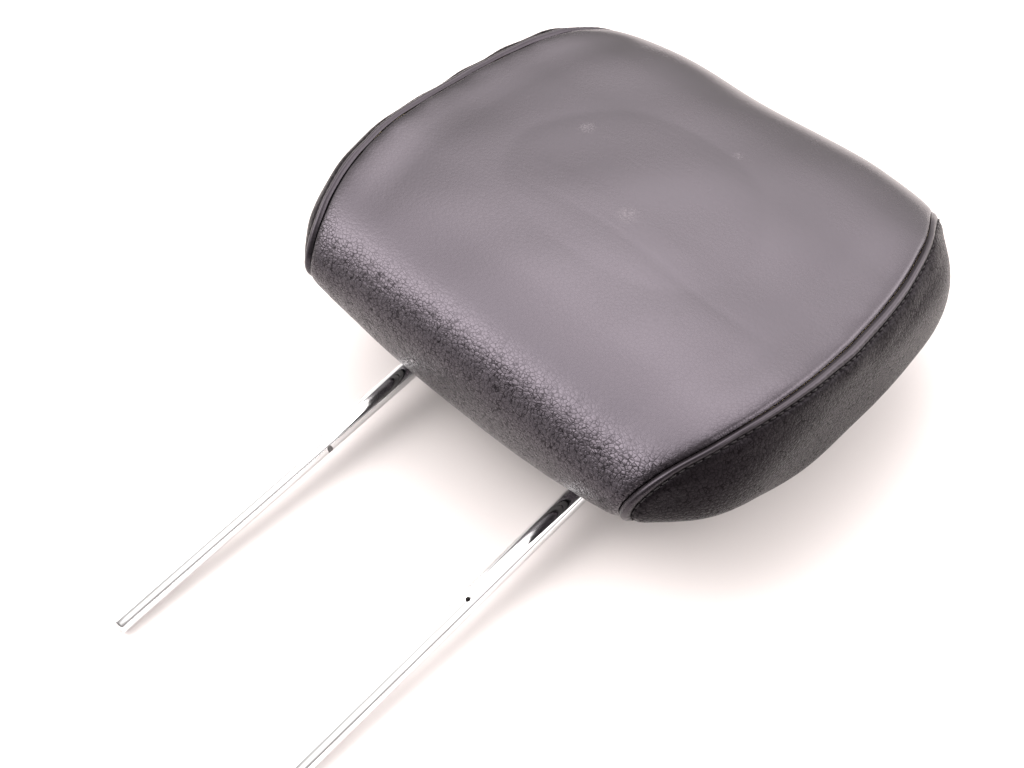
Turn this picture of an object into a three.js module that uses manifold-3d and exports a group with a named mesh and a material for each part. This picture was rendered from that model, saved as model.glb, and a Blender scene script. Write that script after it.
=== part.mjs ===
// Car headrest: leather-covered cushion on a bent steel stay, lying on its back.
// Millimetres, +Z up. X is the width, the posts point to -Y, the head side faces +Z.
// The floor is Z = 0: the crown of the cushion's back and the two post ends rest on it.
import * as THREE from 'three';
import { mergeVertices } from 'three/addons/utils/BufferGeometryUtils.js';
import Module from 'manifold-3d';

const wasm = await Module();
wasm.setup();

// ------------------------------------------------------------------ dimensions
const POST_R = 5.5; // stay tube, outer radius
const BORE_R = 3.9; // stay tube, inner radius
const POST_HALF = 60; // half of the post spacing
const POST_END_Y = -184; // flat end of the posts
const POST_SLOPE = Math.atan(0.0745); // posts drop towards their ends
const TIP_CHAMFER = 1.6;
const KINK_Y = 62; // the legs turn forward here, inside the pad
const KINK_ANGLE = THREE.MathUtils.degToRad(19);
const KINK_R = 60;
const BRIDGE_U = 70; // crossbar, measured along the turned legs
const BRIDGE_R = 22; // corner radius of the bridge
// side of the part, face of the post, distance from the post end, depth, width
const NOTCHES = [
  [-1, -1, 37, 1.3, 4.2], // the removal stop, on the same face of both posts
  [1, -1, 37, 1.3, 4.2],
  [-1, 1, 163, 1.0, 3.4], // a height notch, left post only
];
const GAP = 0.3; // clearance between neighbouring pieces
const PAD_GAP = 1; // between the foam and the cover's backing

const COVER_T = 2.2; // leather with its backing
const SIDE_X = 144.6; // widest half-width of the cushion
const SIDE_Q = 5.29; // how quickly the side panel bulges out of its seam
const PANEL_Q = 3.02; // how flat the centre panel stays towards its seams
const CENTRE = new THREE.Vector2(125, 66); // (y, z) the side panels close on

// Seam line, one side: half-width, y, z. It runs up the face, over the top and down the back.
const SEAM = [
  [105.2, -5.7, 78.8], [107.5, -3.2, 91.9], [113.8, 11.6, 103.5], [124.1, 38.7, 110.6],
  [132.0, 75.3, 112.2], [133.7, 117.5, 108.7], [130.3, 161.7, 106.0], [121.3, 200.4, 103.1],
  [108.8, 227.6, 93.9], [102.5, 243.1, 75.8], [103.1, 247.4, 54.7], [108.7, 237.6, 38.7],
  [117.0, 207.8, 30.2], [124.0, 165.1, 29.6], [125.0, 121.5, 31.6], [120.4, 78.6, 35.8],
  [113.7, 45.6, 43.6], [107.6, 20.6, 55.4], [105.0, 3.2, 67.6],
];
// Middle of the centre panel: y, z, at the same stations.
const SPINE = [
  [-6.9, 68.5], [-3.6, 90.9], [12.6, 105.9], [44.7, 113.1], [83.8, 113.8], [126.0, 111.4],
  [169.4, 109.4], [208.9, 105.7], [236.5, 96.9], [251.1, 80.3], [254.0, 56.3], [244.9, 31.9],
  [217.5, 12.1], [169.9, 1.6], [120.3, 0.0], [75.6, 1.8], [39.6, 10.2], [14.6, 30.4], [-1.6, 50.6],
];
const N = SEAM.length;
const STEPS = 2; // stations between two listed points
const CLOSURE_S = 17.35; // the centre panel's two ends meet here, under the lower lip
const CLOSURE_GAP = 0.2;
const STITCH_D = 6.6; // top-stitch line, distance from the seam
const THREAD_R = 0.42;

// ------------------------------------------------------------------ cushion form
const seamCurve = new THREE.CatmullRomCurve3(SEAM.map((p) => new THREE.Vector3(...p)), true, 'catmullrom', 0.5);
const spineCurve = new THREE.CatmullRomCurve3(SPINE.map((p) => new THREE.Vector3(0, ...p)), true, 'catmullrom', 0.5);
const wrap = (s) => (((s % N) + N) % N) / N;

function inset(curve, s, off, sideShare) {
  const p = curve.getPoint(wrap(s));
  if (off === 0) return p;
  const a = curve.getPoint(wrap(s - 0.05));
  const b = curve.getPoint(wrap(s + 0.05));
  const ty = b.y - a.y, tz = b.z - a.z, l = Math.hypot(ty, tz);
  let ny = tz / l, nz = -ty / l;
  if ((p.y - CENTRE.x) * ny + (p.z - CENTRE.y) * nz < 0) { ny = -ny; nz = -nz; }
  return new THREE.Vector3(p.x - sideShare * off, p.y - ny * off, p.z - nz * off);
}
const seamAt = (s, off) => inset(seamCurve, s, off, 0.42);
const spineAt = (s, off) => inset(spineCurve, s, off, 0);

// A point of the centre panel: s around the loop, t from seam (-1) to seam (1).
function panelPoint(s, t, off = 0, trim = 0) {
  const r = seamAt(s, off), m = spineAt(s, off);
  const g = Math.abs(t) ** PANEL_Q;
  const p = new THREE.Vector3((r.x - trim) * t, m.y + (r.y - m.y) * g, m.z + (r.z - m.z) * g);
  const u = ((s % N) + N) % N;
  const dip = 3.4 * Math.exp(-(((u - 8.6) / 1.5) ** 2)) * (Math.abs(t) < 0.75 ? Math.cos((Math.PI * t) / 1.5) ** 2 : 0);
  if (dip > 0.01) {
    const q = spineAt(s, off + 1);
    p.y += (q.y - m.y) * dip;
    p.z += (q.z - m.z) * dip;
  }
  return p;
}

// A point of a side panel: r runs from the middle (0) to the seam (1).
function sidePoint(s, r, side, off = 0, trim = 0) {
  const e = seamAt(s, off);
  const x = SIDE_X - off + (e.x - (SIDE_X - off)) * r ** SIDE_Q;
  return new THREE.Vector3(side * (x + trim), CENTRE.x + (e.y - CENTRE.x) * r, CENTRE.y + (e.z - CENTRE.y) * r);
}
// Radius whose point lies about d millimetres inside the seam.
function sideRadius(s, d) {
  const e = seamAt(s, 0);
  const rho = Math.hypot(e.y - CENTRE.x, e.z - CENTRE.y, SIDE_Q * (SIDE_X - e.x));
  return 1 - d / rho;
}

// ------------------------------------------------------------------ solids
// Closed, welded, faces outward.
function solid(geometry) {
  geometry.deleteAttribute('normal');
  geometry.deleteAttribute('uv');
  const g = mergeVertices(geometry, 1e-3);
  const idx = Array.from(g.index.array);
  const keep = [];
  for (let i = 0; i < idx.length; i += 3) {
    const [a, b, c] = [idx[i], idx[i + 1], idx[i + 2]];
    if (a !== b && b !== c && a !== c) keep.push(a, b, c);
  }
  const pos = g.attributes.position;
  const A = new THREE.Vector3(), B = new THREE.Vector3(), C = new THREE.Vector3();
  let v = 0;
  for (let i = 0; i < keep.length; i += 3) {
    A.fromBufferAttribute(pos, keep[i]);
    B.fromBufferAttribute(pos, keep[i + 1]);
    C.fromBufferAttribute(pos, keep[i + 2]);
    v += A.dot(B.cross(C));
  }
  if (v < 0) for (let i = 0; i < keep.length; i += 3) [keep[i + 1], keep[i + 2]] = [keep[i + 2], keep[i + 1]];
  g.setIndex(keep);
  return g;
}
function toManifold(geometry) {
  const g = solid(geometry);
  return new wasm.Manifold(new wasm.Mesh({
    numProp: 3,
    vertProperties: new Float32Array(g.attributes.position.array),
    triVerts: new Uint32Array(g.index.array),
  }));
}
function fromManifold(m) {
  const mesh = m.getMesh();
  const g = new THREE.BufferGeometry();
  const pos = new Float32Array((mesh.vertProperties.length / mesh.numProp) * 3);
  for (let i = 0, j = 0; i < mesh.vertProperties.length; i += mesh.numProp, j += 3) {
    pos[j] = mesh.vertProperties[i];
    pos[j + 1] = mesh.vertProperties[i + 1];
    pos[j + 2] = mesh.vertProperties[i + 2];
  }
  g.setAttribute('position', new THREE.BufferAttribute(pos, 3));
  g.setIndex(Array.from(mesh.triVerts));
  return g;
}
function warp(geometry, fn) {
  const pos = geometry.attributes.position;
  const p = new THREE.Vector3();
  for (let i = 0; i < pos.count; i++) {
    p.fromBufferAttribute(pos, i);
    const q = fn(p);
    pos.setXYZ(i, q.x, q.y, q.z);
  }
  return geometry;
}
const place = (geometry, matrix) => geometry.applyMatrix4(matrix);

// ------------------------------------------------------------------ materials
const leather = () => new THREE.MeshStandardMaterial({ color: 0x2b2629, roughness: 0.46, metalness: 0 });
const thread = () => new THREE.MeshStandardMaterial({ color: 0x1d191b, roughness: 0.7, metalness: 0 });
const chrome = () => new THREE.MeshStandardMaterial({ color: 0xd8d9dc, roughness: 0.08, metalness: 1 });
const foam = () => new THREE.MeshStandardMaterial({ color: 0xd9cfa8, roughness: 0.95, metalness: 0 });
const plastic = () => new THREE.MeshStandardMaterial({ color: 0x1a1a1b, roughness: 0.6, metalness: 0 });
const zinc = () => new THREE.MeshStandardMaterial({ color: 0xb9bbb4, roughness: 0.35, metalness: 1 });

const group = new THREE.Group();
group.name = 'headrest';
function put(name, geometry, material, parent = group) {
  const mesh = new THREE.Mesh(geometry, material);
  geometry.computeVertexNormals();
  mesh.name = name;
  parent.add(mesh);
  return mesh;
}

// ------------------------------------------------------------------ stay path
// One half of the bent tube, from the post end to the middle of the bridge.
function stayPath(fromY) {
  const pts = [];
  const tan = Math.tan(POST_SLOPE);
  const axisZ = (y) => POST_R / Math.cos(POST_SLOPE) + (y + 182) * tan;
  pts.push(new THREE.Vector3(POST_HALF, fromY, axisZ(fromY)));
  const k0 = new THREE.Vector3(POST_HALF, KINK_Y, axisZ(KINK_Y));
  for (let i = 0; i <= 4; i++) {
    const a = (KINK_ANGLE * i) / 4;
    const u = KINK_R * Math.sin(a), v = KINK_R * (1 - Math.cos(a));
    pts.push(new THREE.Vector3(POST_HALF,
      k0.y + u * Math.cos(POST_SLOPE) - v * Math.sin(POST_SLOPE),
      k0.z + u * Math.sin(POST_SLOPE) + v * Math.cos(POST_SLOPE)));
  }
  const k1 = pts[pts.length - 1].clone();
  const d = new THREE.Vector3(0, Math.cos(POST_SLOPE + KINK_ANGLE), Math.sin(POST_SLOPE + KINK_ANGLE));
  for (let i = 0; i <= 6; i++) {
    const a = (Math.PI / 2) * (i / 6);
    pts.push(k1.clone().addScaledVector(d, BRIDGE_U - BRIDGE_R + BRIDGE_R * Math.sin(a))
      .add(new THREE.Vector3(-BRIDGE_R * (1 - Math.cos(a)), 0, 0)));
  }
  pts.push(k1.clone().addScaledVector(d, BRIDGE_U).setX(0));
  return { pts, k1, d };
}
function mirrored(half) {
  const back = half.slice(0, -1).reverse().map((p) => new THREE.Vector3(-p.x, p.y, p.z));
  return half.concat(back);
}
// A cylinder bent along a polyline; ends lists extra rings near both ends as [distance, radius].
function bentTube(path, radius, sides, ends = []) {
  const tangent = (i) => {
    const a = path[Math.max(0, i - 1)], b = path[i], c = path[Math.min(path.length - 1, i + 1)];
    const t1 = b.clone().sub(a), t2 = c.clone().sub(b);
    if (t1.lengthSq() > 0) t1.normalize();
    if (t2.lengthSq() > 0) t2.normalize();
    return t1.add(t2).normalize();
  };
  let rings = path.map((p, i) => ({ p, t: tangent(i), r: radius }));
  if (ends.length) {
    const head = ends.map(([d, r]) => ({ p: path[0].clone().addScaledVector(rings[0].t, d), t: rings[0].t, r }));
    const last = rings[rings.length - 1];
    const tail = ends.map(([d, r]) => ({ p: last.p.clone().addScaledVector(last.t, -d), t: last.t, r })).reverse();
    rings = head.concat(rings.slice(1, -1), tail);
  }
  // frames carried along the path without twist
  const normals = [new THREE.Vector3(0, 0, 1).projectOnPlane(rings[0].t).normalize()];
  for (let i = 1; i < rings.length; i++) {
    const q = new THREE.Quaternion().setFromUnitVectors(rings[i - 1].t, rings[i].t);
    normals.push(normals[i - 1].clone().applyQuaternion(q).projectOnPlane(rings[i].t).normalize());
  }
  const n = rings.length - 1;
  const g = new THREE.CylinderGeometry(1, 1, n, sides, n, false);
  return warp(g, (p) => {
    const i = Math.round(p.y + n / 2);
    const ring = rings[i];
    const b = new THREE.Vector3().crossVectors(ring.t, normals[i]);
    return ring.p.clone().addScaledVector(normals[i], p.x * ring.r).addScaledVector(b, p.z * ring.r);
  });
}

const stay = stayPath(POST_END_Y);
const legDir = new THREE.Vector3(0, Math.cos(POST_SLOPE), Math.sin(POST_SLOPE));
const tubePath = mirrored(stay.pts);
const stayOuter = toManifold(bentTube(tubePath, POST_R, 14, [[0, POST_R - TIP_CHAMFER], [0.5, POST_R - 0.55], [TIP_CHAMFER, POST_R]]));
const borePath = mirrored(stayPath(POST_END_Y + 3.5).pts);
const stayBore = toManifold(bentTube(borePath, BORE_R, 8));
const stayClear = toManifold(bentTube(mirrored(stayPath(POST_END_Y - 6).pts), POST_R + GAP + 0.2, 12));

// A round-bottomed notch cut across a post: side of the part, face of the post it is on, distance from its end.
function notch(side, face, distance, depth, width) {
  const at = stay.pts[0].clone().addScaledVector(legDir, distance);
  const up = new THREE.Vector3(0, -Math.sin(POST_SLOPE), Math.cos(POST_SLOPE));
  const m = new THREE.Matrix4().makeBasis(new THREE.Vector3(1, 0, 0), up, new THREE.Vector3(1, 0, 0).cross(up));
  m.setPosition(side * at.x + face * (POST_R - depth + width / 2), at.y, at.z);
  return toManifold(place(new THREE.CylinderGeometry(width / 2, width / 2, 12, 10, 1, false), m));
}
let stayBody = stayOuter.subtract(stayBore);
for (const [side, face, distance, depth, width] of NOTCHES) stayBody = stayBody.subtract(notch(side, face, distance, depth, width));
// The drain hole that plating leaves in the bridge.
const bridge = stay.pts[stay.pts.length - 1];
const drain = new THREE.Matrix4()
  .makeRotationFromQuaternion(new THREE.Quaternion().setFromUnitVectors(new THREE.Vector3(0, 1, 0), stay.d))
  .setPosition(bridge.clone().addScaledVector(stay.d, -4.5));
stayBody = stayBody.subtract(toManifold(place(new THREE.CylinderGeometry(1.5, 1.5, 8, 8, 1, false), drain)));
put('stay_tube', fromManifold(stayBody), chrome());

// ------------------------------------------------------------------ carrier
// Two moulded trays clamp the bridge of the stay. Local frame: x across, y along the turned legs, z to the face.
const carrierGroup = new THREE.Group();
carrierGroup.name = 'carrier';
group.add(carrierGroup);
const CARRIER = { u0: 5, u1: 86, half: 75, depth: 9.5, wall: 2.4, corner: 12 };
const frameUp = new THREE.Vector3().crossVectors(new THREE.Vector3(1, 0, 0), stay.d);
const carrierMatrix = new THREE.Matrix4().makeBasis(new THREE.Vector3(1, 0, 0), stay.d, frameUp)
  .setPosition(0, stay.k1.y, stay.k1.z);
function roundedSlab(half, u0, u1, corner, z0, z1, seg = 3) {
  const s = new THREE.Shape();
  s.moveTo(-half + corner, u0);
  s.lineTo(half - corner, u0);
  s.absarc(half - corner, u0 + corner, corner, -Math.PI / 2, 0, false);
  s.absarc(half - corner, u1 - corner, corner, 0, Math.PI / 2, false);
  s.absarc(-half + corner, u1 - corner, corner, Math.PI / 2, Math.PI, false);
  s.absarc(-half + corner, u0 + corner, corner, Math.PI, 1.5 * Math.PI, false);
  const g = new THREE.ExtrudeGeometry(s, { depth: z1 - z0, bevelEnabled: false, curveSegments: seg });
  return g.translate(0, 0, z0);
}
function localCylinder(x, u, r, z0, z1, seg = 10) {
  const g = new THREE.CylinderGeometry(r, r, z1 - z0, seg, 1, false);
  return g.rotateX(Math.PI / 2).translate(x, u, (z0 + z1) / 2);
}
const inCarrier = (g) => toManifold(place(g, carrierMatrix));
const SCREWS = [[-36, 20], [36, 20], [-36, 50], [36, 50]];
const channelWall = toManifold(bentTube(mirrored(stay.pts), POST_R + 3, 8));
function tray(front) {
  const sgn = front ? 1 : -1;
  const z = (a, b) => (front ? [a, b] : [-b, -a]);
  const { u0, u1, half, depth, wall, corner } = CARRIER;
  const [o0, o1] = z(0.15, depth);
  const outer = inCarrier(roundedSlab(half, u0, u1, corner, o0, o1));
  const pocketZ = front ? [-1, depth - wall] : [-(depth - wall), 1];
  const pocket = inCarrier(roundedSlab(half - wall, u0 + wall, u1 - wall, corner - wall, ...pocketZ));
  let body = outer.subtract(pocket);
  body = body.add(channelWall.intersect(outer));
  for (const [x, u] of SCREWS) body = body.add(inCarrier(localCylinder(x, u, 5.2, o0, o1, 10)).intersect(outer));
  // one stiffening rib across the tray
  const rib = new THREE.BoxGeometry(2 * (half - wall) + 1, 2, depth - 1).translate(0, 36, sgn * (depth + 1) / 2);
  body = body.add(inCarrier(rib).intersect(outer));
  body = body.subtract(stayClear);
  for (const [x, u] of SCREWS) {
    if (front) body = body.subtract(inCarrier(localCylinder(x, u, 1.8, -1, 7.0, 8)));
    else {
      body = body.subtract(inCarrier(localCylinder(x, u, 2.1, -depth - 1, 1, 8)));
      body = body.subtract(inCarrier(localCylinder(x, u, 4.2, -depth - 1, -depth + 3.0, 10)));
    }
  }
  return body;
}
put('carrier_tray_front', fromManifold(tray(true)), plastic(), carrierGroup);
put('carrier_tray_rear', fromManifold(tray(false)), plastic(), carrierGroup);
SCREWS.forEach(([x, u], i) => {
  const d = CARRIER.depth;
  const profile = [
    [0, -d + 0.2], [1.2, -d + 0.2], [1.2, -d + 0.9], [3.0, -d + 0.9], [3.7, -d + 1.4], [3.7, -d + 2.7],
    [1.5, -d + 2.7], [1.5, 5.6], [0.9, 6.5], [0, 6.5],
  ].map(([a, b]) => new THREE.Vector2(a, b));
  const g = new THREE.LatheGeometry(profile, 8).rotateX(Math.PI / 2).translate(x, u, 0);
  put(`carrier_screw_${i + 1}`, solid(place(g, carrierMatrix)), zinc(), carrierGroup);
});

// ------------------------------------------------------------------ cushion pieces
const T_COLS = [-1, -0.94, -0.82, -0.64, -0.36, 0, 0.36, 0.64, 0.82, 0.94, 1];
const S_COUNT = N * STEPS;
const SIDE_D = [0, STITCH_D / 2, STITCH_D, 13];
const SIDE_F = [0.84, 0.6, 0.3, 0];
function sideRow(s, k, d0 = 0) {
  if (k < SIDE_D.length) return sideRadius(s, SIDE_D[k] + d0);
  return sideRadius(s, SIDE_D[SIDE_D.length - 1]) * SIDE_F[k - SIDE_D.length];
}
const SIDE_ROWS = SIDE_D.length + SIDE_F.length;

// Where the posts leave the lower back, and the direction of the cover there.
function postEntry(side) {
  const t = (s) => (side * POST_HALF) / seamAt(s, 0).x;
  const start = stay.pts[0];
  const err = (s) => {
    const p = panelPoint(s, t(s));
    return p.z - (start.z + (p.y - start.y) * Math.tan(POST_SLOPE));
  };
  let a = 15.2, b = 17.2;
  for (let i = 0; i < 50; i++) {
    const m = (a + b) / 2;
    if (Math.sign(err(m)) === Math.sign(err(a))) a = m; else b = m;
  }
  const s = (a + b) / 2;
  const p = panelPoint(s, t(s));
  const ds = panelPoint(s + 0.1, t(s)).sub(panelPoint(s - 0.1, t(s)));
  const dt = panelPoint(s, t(s) + 0.05).sub(panelPoint(s, t(s) - 0.05));
  const n = ds.cross(dt).normalize();
  if (n.z > 0) n.negate();
  return { p, n };
}
const ENTRY = { left: postEntry(-1), right: postEntry(1) };
const BEZEL_R = 14;
function alongNormal(entry) {
  const q = new THREE.Quaternion().setFromUnitVectors(new THREE.Vector3(0, 1, 0), entry.n);
  return new THREE.Matrix4().makeRotationFromQuaternion(q).setPosition(entry.p);
}

// Centre panel: one strip around the pad, its ends meeting under the lower lip.
const panelBox = new THREE.BoxGeometry(T_COLS.length - 1, S_COUNT, 1, T_COLS.length - 1, S_COUNT, 1);
const stations = [CLOSURE_S + CLOSURE_GAP];
for (let i = 36; i <= 36 + S_COUNT - 2; i++) stations.push(i / STEPS);
stations.push(CLOSURE_S - CLOSURE_GAP + N);
const panelGeo = warp(panelBox, (p) => {
  const t = T_COLS[Math.round(p.x + (T_COLS.length - 1) / 2)];
  const s = stations[Math.round(p.y + S_COUNT / 2)];
  return panelPoint(s, t, p.z > 0 ? 0 : COVER_T, GAP / 2);
});
let panel = toManifold(panelGeo);
for (const e of [ENTRY.left, ENTRY.right]) {
  panel = panel.subtract(toManifold(place(new THREE.CylinderGeometry(BEZEL_R + GAP, BEZEL_R + GAP, 24, 20, 1, false), alongNormal(e))));
}
panel = panel.subtract(stayClear);
put('cover_centre_panel', fromManifold(panel), leather());

// Side panels: bulged discs closing the two sides.
function sidePanel(side) {
  const profile = [];
  for (let k = SIDE_ROWS - 1; k >= 0; k--) profile.push(new THREE.Vector2((SIDE_ROWS - 1 - k), 0));
  for (let k = 0; k < SIDE_ROWS; k++) profile.push(new THREE.Vector2((SIDE_ROWS - 1 - k), 1));
  const g = new THREE.LatheGeometry(profile, S_COUNT);
  return solid(warp(g, (p) => {
    const rad = Math.hypot(p.x, p.z);
    const k = SIDE_ROWS - 1 - Math.round(rad);
    let a = Math.atan2(p.x, p.z) / (2 * Math.PI);
    if (a < 0) a += 1;
    const s = (Math.round(a * S_COUNT) % S_COUNT) / STEPS;
    return sidePoint(s, k === SIDE_ROWS - 1 ? 0 : sideRow(s, k), side, p.y > 0.5 ? COVER_T : 0, GAP / 2);
  }));
}
put('cover_side_panel_left', sidePanel(-1), leather());
put('cover_side_panel_right', sidePanel(1), leather());

// Top-stitch threads, lying on the side panels beside the seams.
function stitch(side) {
  const g = new THREE.TorusGeometry(10, 1, 5, S_COUNT);
  return solid(warp(g, (p) => {
    let a = Math.atan2(p.y, p.x) / (2 * Math.PI);
    if (a < 0) a += 1;
    const i = Math.round(a * S_COUNT) % S_COUNT;
    const s = i / STEPS;
    const at = (q) => sidePoint(q, sideRow(q, 2), side, 0, GAP / 2);
    const c = at(s);
    const along = at(s + 0.25).sub(at(s - 0.25)).normalize();
    const r = sideRow(s, 2);
    const across = sidePoint(s, r + 0.02, side).sub(sidePoint(s, r - 0.02, side)).normalize();
    const n = along.clone().cross(across).normalize();
    if (n.x * side < 0) n.negate();
    const w = n.clone().cross(along).normalize();
    const u = Math.hypot(p.x, p.y) - 10, v = p.z;
    return c.addScaledVector(n, THREAD_R + GAP + 0.25 + v * THREAD_R).addScaledVector(w, u * THREAD_R);
  }));
}
put('top_stitch_left', stitch(-1), thread());
put('top_stitch_right', stitch(1), thread());

// Closure under the lower lip: two hooked strips sewn to the panel's ends.
function closurePoint(t, along, inward) {
  const c = panelPoint(CLOSURE_S, t);
  const ds = panelPoint(CLOSURE_S + 0.1, t).sub(panelPoint(CLOSURE_S - 0.1, t)).setX(0).normalize();
  const n = new THREE.Vector3(0, -ds.z, ds.y);
  const toCentre = new THREE.Vector3(0, CENTRE.x - c.y, CENTRE.y - c.z);
  if (n.dot(toCentre) < 0) n.negate();
  return c.addScaledVector(ds, along).addScaledVector(n, inward);
}
function closureStrip(outline, tMax, steps) {
  const shape = new THREE.Shape(outline.map(([a, b]) => new THREE.Vector2(a, b)));
  const g = new THREE.ExtrudeGeometry(shape, { depth: 2 * tMax, steps, bevelEnabled: false }).translate(0, 0, -tMax);
  return warp(g, (p) => closurePoint(p.z, p.x, p.y));
}
put('closure_strip_hook', solid(closureStrip([
  [-3.7, 0.3], [-0.3, 0.3], [-0.3, 5.6], [2.2, 5.6], [2.2, 3.6], [3.4, 3.6], [3.4, 7.0], [-1.7, 7.0], [-1.7, 1.7], [-3.7, 1.7],
], 0.93, 10)), plastic());
put('closure_strip_catch', solid(closureStrip([
  [0.3, 0.3], [3.7, 0.3], [3.7, 1.7], [1.8, 1.7], [1.8, 5.2], [0.3, 5.2],
], 0.93, 10)), plastic());

// Bezels where the posts leave the cover.
for (const name of ['left', 'right']) {
  const e = ENTRY[name];
  const profile = [[0, -2.4], [BEZEL_R - 1.2, -2.4], [BEZEL_R - 1.2, -0.4], [BEZEL_R, 0], [BEZEL_R, 0.9], [BEZEL_R - 1.2, 1.7], [0, 1.7]]
    .map(([a, b]) => new THREE.Vector2(a, b));
  const ring = toManifold(place(new THREE.LatheGeometry(profile, 20), alongNormal(e)));
  put(`post_bezel_${name}`, fromManifold(ring.subtract(stayClear)), plastic());
}

// Foam pad, moulded around the carrier and the legs.
function foamBlock(off) {
  const cap = SIDE_ROWS - 1;
  const profile = [];
  for (let k = 0; k <= cap; k++) profile.push(new THREE.Vector2(k, 20));
  for (let j = 1; j < T_COLS.length - 1; j++) profile.push(new THREE.Vector2(cap, 20 - j));
  for (let k = cap; k >= 0; k--) profile.push(new THREE.Vector2(k, 20 - (T_COLS.length - 1)));
  const g = new THREE.LatheGeometry(profile, S_COUNT);
  return warp(g, (p) => {
    const rad = Math.round(Math.hypot(p.x, p.z));
    const j = Math.round(20 - p.y);
    let a = Math.atan2(p.x, p.z) / (2 * Math.PI);
    if (a < 0) a += 1;
    const s = (Math.round(a * S_COUNT) % S_COUNT) / STEPS;
    if (j === 0 || j === T_COLS.length - 1) {
      const side = j === 0 ? -1 : 1;
      const k = cap - rad;
      return sidePoint(s, k === cap ? 0 : sideRow(s, k), side, off);
    }
    return panelPoint(s, T_COLS[j], off);
  });
}
let pad = toManifold(foamBlock(COVER_T + PAD_GAP));
const c = CARRIER;
pad = pad.subtract(inCarrier(roundedSlab(c.half + GAP, c.u0 - GAP, c.u1 + GAP, c.corner + GAP, -c.depth - GAP, c.depth + GAP)));
pad = pad.subtract(stayClear);
pad = pad.subtract(toManifold(closureStrip([[-5.2, 0.5], [5.2, 0.5], [5.2, 7.5], [-5.2, 7.5]], 0.95, 10)));
for (const e of [ENTRY.left, ENTRY.right]) {
  const hole = new THREE.CylinderGeometry(BEZEL_R + GAP, BEZEL_R + GAP, 12, 20, 1, false).translate(0, 3.2, 0);
  pad = pad.subtract(toManifold(place(hole, alongNormal(e))));
}
put('foam_pad', fromManifold(pad), foam());

// Origin: under the middle of the whole part, on the floor.
const box = new THREE.Box3().setFromObject(group, true);
group.position.set(0, -(box.min.y + box.max.y) / 2, -box.min.z);
group.updateMatrixWorld(true);

export default group;
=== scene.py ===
"""Car headrest lying on its back: leather cushion on a chromed stay, on a pale floor in soft studio light."""

import math

import bmesh
import bpy
import numpy as np
from mathutils import Matrix, Vector
from mathutils.kdtree import KDTree


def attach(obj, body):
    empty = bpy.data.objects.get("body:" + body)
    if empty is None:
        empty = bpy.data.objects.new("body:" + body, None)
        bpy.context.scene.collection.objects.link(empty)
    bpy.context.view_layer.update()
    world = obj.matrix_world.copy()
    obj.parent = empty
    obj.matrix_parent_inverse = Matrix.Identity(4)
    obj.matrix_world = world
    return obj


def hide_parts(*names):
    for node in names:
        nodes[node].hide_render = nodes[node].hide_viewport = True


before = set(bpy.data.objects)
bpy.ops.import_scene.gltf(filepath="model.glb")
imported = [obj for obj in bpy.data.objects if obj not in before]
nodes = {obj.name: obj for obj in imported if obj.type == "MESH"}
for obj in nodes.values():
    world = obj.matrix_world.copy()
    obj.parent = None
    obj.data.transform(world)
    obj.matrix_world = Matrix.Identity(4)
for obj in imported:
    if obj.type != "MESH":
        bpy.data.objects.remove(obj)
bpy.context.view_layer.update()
rng = np.random.default_rng(11)
MM = 0.001
SHIFT_Y = -34.333  # millimetres, from the drawing's y to the row frame's y

# ------------------------------------------------------------------ cushion form, in millimetres of the drawing
SEAM = np.array([
    [105.2, -5.7, 78.8], [107.5, -3.2, 91.9], [113.8, 11.6, 103.5], [124.1, 38.7, 110.6],
    [132.0, 75.3, 112.2], [133.7, 117.5, 108.7], [130.3, 161.7, 106.0], [121.3, 200.4, 103.1],
    [108.8, 227.6, 93.9], [102.5, 243.1, 75.8], [103.1, 247.4, 54.7], [108.7, 237.6, 38.7],
    [117.0, 207.8, 30.2], [124.0, 165.1, 29.6], [125.0, 121.5, 31.6], [120.4, 78.6, 35.8],
    [113.7, 45.6, 43.6], [107.6, 20.6, 55.4], [105.0, 3.2, 67.6]])
SPINE = np.array([
    [0, -6.9, 68.5], [0, -3.6, 90.9], [0, 12.6, 105.9], [0, 44.7, 113.1], [0, 83.8, 113.8], [0, 126.0, 111.4],
    [0, 169.4, 109.4], [0, 208.9, 105.7], [0, 236.5, 96.9], [0, 251.1, 80.3], [0, 254.0, 56.3], [0, 244.9, 31.9],
    [0, 217.5, 12.1], [0, 169.9, 1.6], [0, 120.3, 0.0], [0, 75.6, 1.8], [0, 39.6, 10.2], [0, 14.6, 30.4],
    [0, -1.6, 50.6]], float)
N = len(SEAM)
SIDE_X, SIDE_Q, PANEL_Q = 144.6, 5.29, 3.02
CY, CZ = 125.0, 66.0
TRIM = 0.15
CLOSURE_S, CLOSURE_GAP = 17.35, 0.2
STITCH_D = 6.6
STITCH_PITCH = 4.4
LEATHER_T = 1.4
GROOVE = 1.6
CREASE_Y = 95.5
POST_R, POST_HALF, POST_END_Y = 5.5, 60.0, -184.0
POST_SLOPE = math.atan(0.0745)
BEZEL_R = 14.3


def smoothstep(x, a, b):
    t = np.clip((x - a) / (b - a), 0, 1)
    return t * t * (3 - 2 * t)


def unit(v):
    return v / np.maximum(np.linalg.norm(v, axis=-1, keepdims=True), 1e-12)


def catmull(P, u):
    i = np.floor(u).astype(int)
    f = (u - i)[..., None]
    p0, p1, p2, p3 = P[(i - 1) % N], P[i % N], P[(i + 1) % N], P[(i + 2) % N]
    return 0.5 * (2 * p1 + (p2 - p0) * f + (2 * p0 - 5 * p1 + 4 * p2 - p3) * f * f + (3 * p1 - p0 - 3 * p2 + p3) * f ** 3)


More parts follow.
